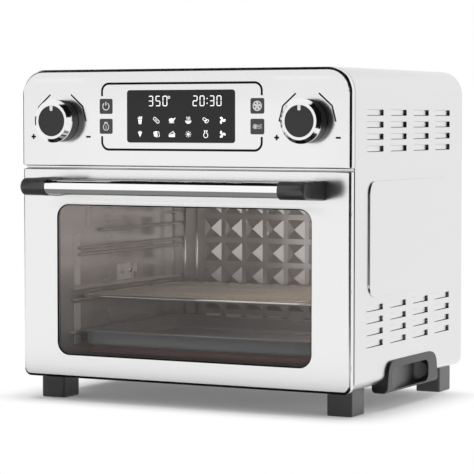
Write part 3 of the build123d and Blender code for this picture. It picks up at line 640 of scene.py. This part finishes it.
def panelOutline(values):
    # a rounded rectangle's upper and lower halves, left open beside the buttons
    half, radius, front, back = values["half"], values["radius"], values["front"], values["back"]
    inner = half - radius
    upper = np.concatenate([
        [(half, values["gapHigh"])], arc(inner, values["top"] - radius, radius, radius, 0, 90, 10),
        arc(-inner, values["top"] - radius, radius, radius, 90, 180, 10), [(-half, values["gapHigh"])],
    ])
    lower = np.concatenate([
        [(-half, values["gapLow"])], arc(-inner, values["bottom"] + radius, radius, radius, 180, 270, 10),
        arc(inner, values["bottom"] + radius, radius, radius, 270, 360, 10), [(half, values["gapLow"])],
    ])
    solids = [stroke(path, values["line"], front, back) for path in (upper, lower)]
    return makePiece("panelOutline", solids, "cabinet", printAndPaintedReflectionBlack)


def knobScales(values):
    # bent pointer lines at the shoulders of each knob, and a minus and a plus below
    solids = []
    front, back = values["front"], values["back"]
    for side in (-1, 1):
        cx, cz = side * values["knobX"], values["knobZ"]
        low, reach, line = cz + values["signZ"], values["signHalf"], values["signLine"]
        left, right = cx - values["signX"], cx + values["signX"]
        for mirror in (-1, 1):
            bent = [(cx + mirror * x, cz + z) for x, z in values["shoulder"]]
            solids.append(stroke(bent, values["shoulderLine"], front, back))
        solids.append(stroke([(left - reach, low), (left + reach, low)], line, front, back))
        solids.append(stroke([(left, low - reach), (left, low - line / 2)], line, front, back))
        solids.append(stroke([(left, low + line / 2), (left, low + reach)], line, front, back))
        solids.append(stroke([(right - reach, low), (right + reach, low)], line, front, back))
    return makePiece("knobScales", solids, "cabinet", printAndPaintedReflectionBlack)


panelOutline(printing)
knobScales(printing)
print("control panel printed")


# Pointer tabs on the knobs

pointer = {"inner": 10.4, "outer": 16.6, "half": 1.6, "radius": 1.2, "front": -18.9, "back": -18.2}
for side, name in ((-1, "left"), (1, "right")):
    middle = printing["knobZ"] + (pointer["inner"] + pointer["outer"]) / 2
    outline = roundedBox(
        side * printing["knobX"], middle,
        pointer["half"], (pointer["outer"] - pointer["inner"]) / 2, pointer["radius"],
    )
    makePiece(
        name + "Pointer", [plate(outline, pointer["front"], pointer["back"])],
        name + "_knob", printWhite,
    )


# Dark band inside the window's edge: a painted dark reflection of the rim, in the black print finish

windowBorder = {
    "half": 147.4, "bottom": 48.4, "top": 206.3, "radius": 14.0, "line": 1.3, "gap": 0.05,
    "front": 1.08, "back": 1.19,
}


def borderBand(values):
    # the opening's outline and the same outline drawn in by the line's width
    middle = (values["bottom"] + values["top"]) / 2
    tall = (values["top"] - values["bottom"]) / 2
    half, radius, line, gap = values["half"], values["radius"], values["line"], values["gap"]
    outer = roundedBox(0, middle, half - gap, tall - gap, radius, 12)
    inner = roundedBox(0, middle, half - line, tall - line, radius - line, 12)
    return makePiece(
        "windowBorder", [ribbon(outer, inner, values["front"], values["back"], True)],
        "door", printAndPaintedReflectionBlack,
    )


borderBand(windowBorder)
print("door dressed")


# Sheet details inside the cavity: folded strips on the side walls, beads in the rear corners

cavityTrim = {
    "wall": 150.0, "proud": 0.7, "sunk": 0.2, "slope": 1.0,
    "strips": [  # front and back edge, bottom and top
        (37.0, 50.0, 56.0, 99.0), (37.0, 50.0, 118.5, 172.0), (60.0, 70.0, 180.0, 221.0),
    ],
    "beads": (127.0, 142.5), "beadRadius": 1.7, "back": 267.0, "low": 38.5, "high": 221.5,
}


def column(ring, low, high):
    # one level outline (across, depth) carried straight up
    ring = np.asarray(ring, dtype=float)
    levels = [np.column_stack([ring, np.full(len(ring), level)]) for level in (low, high)]
    return np.array(levels), False


def cavityDetails(values):
    # the same on both sides: strips that slope up from the wall, and round beads
    strips, beads = [], []
    slope, radius = values["slope"], values["beadRadius"]
    for side in (-1, 1):
        outer, inner = side * (values["wall"] + values["sunk"]), side * (values["wall"] - values["proud"])
        for front, back, low, high in values["strips"]:
            plan = [(outer, front), (inner, front + slope), (inner, back - slope), (outer, back)]
            strips.append(column(plan, low, high))
        for x in values["beads"]:
            ring = loop(side * x, values["back"], radius, radius)
            beads.append(column(ring, values["low"], values["high"]))
    makePiece("wallStrips", strips, "cabinet", foldedSteel)
    makePiece("cornerBeads", beads, "cabinet", rackWire, True)


cavityDetails(cavityTrim)
print("cavity dressed")


# Floor, studio cards and lamps

studio = {
    "floorHalf": 30.0, "floorHeight": -0.0002, "floorColour": 0.86,
    "footprint": (0.18, 0.105), "fade": (0.0, 0.06), "sideStretch": 0.9, "leastWhite": 0.13,
    "worldSeen": 1.0, "worldDiffuse": 0.5,
    "lamps": [  # name, place, width and height, power, the point faced, seen in reflections
        ("keyLamp", (-1.6, -2.6, 2.4), (2.2, 2.2), 34.0, (0.0, 0.0, 0.15), False),
        ("fillLamp", (3.2, -0.3, 1.5), (2.0, 2.0), 34.0, (0.0, 0.0, 0.15), False),
        ("topLamp", (0.0, 0.2, 3.0), (2.6, 2.6), 40.0, (0.0, 0.0, 0.15), False),
        ("ovenSideLamp", (0.124, -0.0275, 0.164), (0.162, 0.104), 0.048, (-0.831, 0.2685, 0.164), True),
        ("ovenDoorLamp", (0.040, -0.105, 0.164), (0.120, 0.104), 0.035, (0.040, 0.895, 0.164), True),
    ],
    "bulb": ("ovenLamp", (0.142, 0.060, 0.178), 0.012, 0.6, (1.0, 0.84, 0.70)),
    "nearCards": [  # name, left and right, depth and height of both edges, level
        ("barWhite", (-0.185, 0.13), (-0.213, 0.232), (-0.213, 0.328), 1.0),
        ("barGrey", (-0.18, 0.13), (-0.160, 0.2070), (-0.201, 0.2047), 0.22),
        ("barLine", (-0.15, 0.125), (-0.150, 0.2295), (-0.150, 0.2326), 0.0),
        ("leftKnobWhite", (-0.187, -0.122), (-0.149, 0.338), (-0.130, 0.338), 1.0),
        ("rightKnobWhite", (0.097, 0.162), (-0.149, 0.338), (-0.130, 0.338), 1.0),
    ],
}
flags = {  # black cards far round the oven, in degrees and metres
    "radius": 4.0, "azimuthStep": 2.0, "elevationStep": 1.0, "lowest": -1.0,
    "openings": [  # azimuths and elevations that the dome leaves free
        (-66.0, 8.0, -90.0, 11.0), (118.0, 180.0, -90.0, 38.0), (-180.0, -132.0, -90.0, 38.0),
        (-130.0, -56.0, 9.0, 48.0), (140.0, 180.0, 50.0, 90.0), (-180.0, -140.0, 50.0, 90.0),
    ],
    "floorHeight": 0.0005, "floorStep": 0.05, "floorNearest": 0.4, "floorTurn": 100.0,
    "mirroredCamera": (1.0803, 1.8226), "floorFree": (-50.0, -11.0),
    "nearFlag": (-0.45, 0.5, -0.31, -0.095),
}


def combine(nodes, links, operation, one, other):
    # one number worked out from two
    step = nodes.new("ShaderNodeMath")
    step.operation = operation
    links.new(one, step.inputs[0])
    links.new(other, step.inputs[1])
    return step.outputs[0]


def vectorStep(nodes, links, operation, source, other=(0.0, 0.0, 0.0)):
    # a vector worked out from another and a fixed one, or its length
    step = nodes.new("ShaderNodeVectorMath")
    step.operation = operation
    step.inputs[1].default_value = other
    links.new(source, step.inputs[0])
    return step.outputs["Value" if operation == "LENGTH" else "Vector"]


def seenDirectly(nodes, links):
    # one for camera, glossy and transmission rays
    rays = nodes.new("ShaderNodeLightPath").outputs
    either = combine(nodes, links, "MAXIMUM", rays["Is Camera Ray"], rays["Is Glossy Ray"])
    return combine(nodes, links, "MAXIMUM", either, rays["Is Transmission Ray"])


def bareMaterial(name):
    # a material that has nothing yet but its output
    material = bpy.data.materials.new(name)
    material.use_nodes = True
    nodes, links = material.node_tree.nodes, material.node_tree.links
    nodes.clear()
    output = nodes.new("ShaderNodeOutputMaterial")
    return material, nodes, links, output.inputs["Surface"]


def gridObject(name, grid, material, kept=slice(None)):
    # rows and columns of points become quads, of which the kept ones stay
    rows, columns = grid.shape[:2]
    index = np.arange(rows * columns).reshape(rows, columns)
    quads = np.stack([index[:-1, :-1], index[:-1, 1:], index[1:, 1:], index[1:, :-1]], -1)
    mesh = bpy.data.meshes.new(name)
    mesh.from_pydata(grid.reshape(-1, 3).tolist(), [], quads[kept].reshape(-1, 4).tolist())
    mesh.materials.append(material)
    made = bpy.data.objects.new(name, mesh)
    bpy.context.scene.collection.objects.link(made)
    return made


def floorMaterial(values):
    # matte near the footprint, where the shadow lies, and white beyond it
    material, nodes, links, surface = bareMaterial("paleFloor")
    place = nodes.new("ShaderNodeTexCoord").outputs["Object"]
    size = vectorStep(nodes, links, "ABSOLUTE", place)
    beyond = vectorStep(nodes, links, "SUBTRACT", size, (*values["footprint"], 0.0))
    outside = vectorStep(nodes, links, "MAXIMUM", beyond)
    stretched = vectorStep(nodes, links, "MULTIPLY", outside, (values["sideStretch"], 1.0, 0.0))
    fade = nodes.new("ShaderNodeMapRange")
    fade.interpolation_type = "SMOOTHSTEP"
    fade.inputs["From Min"].default_value, fade.inputs["From Max"].default_value = values["fade"]
    fade.inputs["To Min"].default_value = values["leastWhite"]
    links.new(vectorStep(nodes, links, "LENGTH", stretched), fade.inputs["Value"])
    share = combine(nodes, links, "MULTIPLY", fade.outputs["Result"], seenDirectly(nodes, links))
    matte = nodes.new("ShaderNodeBsdfDiffuse")
    matte.inputs["Color"].default_value = (*grey(values["floorColour"]), 1)
    white = nodes.new("ShaderNodeEmission")
    white.inputs["Strength"].default_value = 1.0
    mix = nodes.new("ShaderNodeMixShader")
    links.new(share, mix.inputs["Fac"])
    links.new(matte.outputs[0], mix.inputs[1])
    links.new(white.outputs[0], mix.inputs[2])
    links.new(mix.outputs[0], surface)
    return material


def makeFloor(values):
    # flat grid over both directions
    across = np.linspace(-values["floorHalf"], values["floorHalf"], 5)
    x, y = np.meshgrid(across, across)
    grid = np.stack([x, y, np.full(x.shape, values["floorHeight"])], -1)
    gridObject("studioFloor", grid, floorMaterial(values))


def makeWorld(values):
    # white of one strength to rays that see it directly and of another to the rest
    world = bpy.data.worlds.new("studioWorld")
    bpy.context.scene.world = world
    world.use_nodes = True
    nodes, links = world.node_tree.nodes, world.node_tree.links
    nodes.clear()
    mix = nodes.new("ShaderNodeMixShader")
    links.new(seenDirectly(nodes, links), mix.inputs["Fac"])
    for socket, strength in ((1, values["worldDiffuse"]), (2, values["worldSeen"])):
        sky = nodes.new("ShaderNodeBackground")
        sky.inputs["Color"].default_value = (1, 1, 1, 1)
        sky.inputs["Strength"].default_value = strength
        links.new(sky.outputs[0], mix.inputs[socket])
    output = nodes.new("ShaderNodeOutputWorld")
    links.new(mix.outputs[0], output.inputs["Surface"])


def makeCard(name, grid, material, kept=slice(None)):
    # studio card that only glossy rays meet
    card = gridObject(name, grid, material, kept)
    card.visible_camera = False
    card.visible_diffuse = False
    card.visible_transmission = False
    card.visible_shadow = False
    card.visible_volume_scatter = False


def shiningCard(name, level):
    # even light of one level, white at one
    material, nodes, links, surface = bareMaterial(name)
    light = nodes.new("ShaderNodeEmission")
    light.inputs["Strength"].default_value = level
    links.new(light.outputs[0], surface)
    return material


cardBlack = mouldedFinish("flagCloth", {
    "pits": 40, "slow": 1, "dark": grey(0.004), "light": grey(0.010), "rough": (0.9, 1.0), "relief": 0.0,
    "specular": 0.0,
})


def isFree(azimuth, elevation, openings):
    # true where a direction lies in one of the openings
    free = np.zeros(azimuth.shape, dtype=bool)
    for left, right, low, high in openings:
        free |= (azimuth > left) & (azimuth < right) & (elevation > low) & (elevation < high)
    return free


def makeFlags(values):
    # a sphere's upper half by azimuth and elevation
    radius, wide, tall = values["radius"], values["azimuthStep"], values["elevationStep"]
    azimuth, elevation = np.meshgrid(np.arange(-180, 181, wide), np.arange(values["lowest"], 90, tall))
    across, up = np.radians(azimuth), np.radians(elevation)
    dome = np.stack([
        radius * np.sin(across) * np.cos(up), -radius * np.cos(across) * np.cos(up), radius * np.sin(up),
    ], -1)
    shut = ~isFree(azimuth[:-1, :-1] + wide / 2, elevation[:-1, :-1] + tall / 2, values["openings"])
    makeCard("flagDome", dome, cardBlack, shut)
    # flat grid before the oven, shut where the mirrored camera looks past the flat front
    step = values["floorStep"]
    x, y = np.meshgrid(np.arange(-radius, radius + 0.01, step), np.arange(-radius, 0.01, step))
    floor = np.stack([x, y, np.full(x.shape, values["floorHeight"])], -1)
    middleX, middleY = x[:-1, :-1] + step / 2, y[:-1, :-1] + step / 2
    cameraX, cameraY = values["mirroredCamera"]
    seenAt = np.degrees(np.arctan2(middleX - cameraX, cameraY - middleY))
    turn = np.degrees(np.arctan2(middleX, -middleY))
    low, high = values["floorFree"]
    outer = (np.hypot(middleX, middleY) > values["floorNearest"]) & (turn < values["floorTurn"])
    left, right, front, back = values["nearFlag"]
    near = (middleX > left) & (middleX < right) & (middleY > front) & (middleY < back)
    makeCard("flagFloor", floor, cardBlack, near | outer & ((seenAt > high) | (seenAt < low)))


def makeNearCards(values):
    # for the bar, white before its upper side, grey below it and black behind its top; white above each knob
    for name, (left, right), (nearY, nearZ), (farY, farZ), level in values["nearCards"]:
        grid = np.array([
            [(left, nearY, nearZ), (right, nearY, nearZ)], [(left, farY, farZ), (right, farY, farZ)],
        ])
        makeCard(name + "Card", grid, shiningCard(name, level))


def makeLamp(name, location, size, power, faced, mirrored):
    # rectangle of light turned towards a point
    data = bpy.data.lights.new(name, "AREA")
    data.shape = "RECTANGLE"
    data.size, data.size_y = size
    data.energy = power
    lamp = bpy.data.objects.new(name, data)
    lamp.location = location
    lamp.rotation_euler = (Vector(faced) - Vector(location)).to_track_quat("-Z", "Y").to_euler()
    lamp.visible_glossy = mirrored
    lamp.visible_camera = False
    lamp.visible_transmission = False
    bpy.context.scene.collection.objects.link(lamp)


def makeBulb(name, location, radius, power, colour):
    # small round light inside the cavity
    data = bpy.data.lights.new(name, "POINT")
    data.shadow_soft_size = radius
    data.energy = power
    data.color = colour
    bulb = bpy.data.objects.new(name, data)
    bulb.location = location
    bulb.visible_glossy = False
    bpy.context.scene.collection.objects.link(bulb)


makeFloor(studio)
makeWorld(studio)
makeFlags(flags)
makeNearCards(studio)
makeBulb(*studio["bulb"])
for lampValues in studio["lamps"]:
    makeLamp(*lampValues)
bpy.context.scene.view_settings.view_transform = "Standard"
print("studio set")
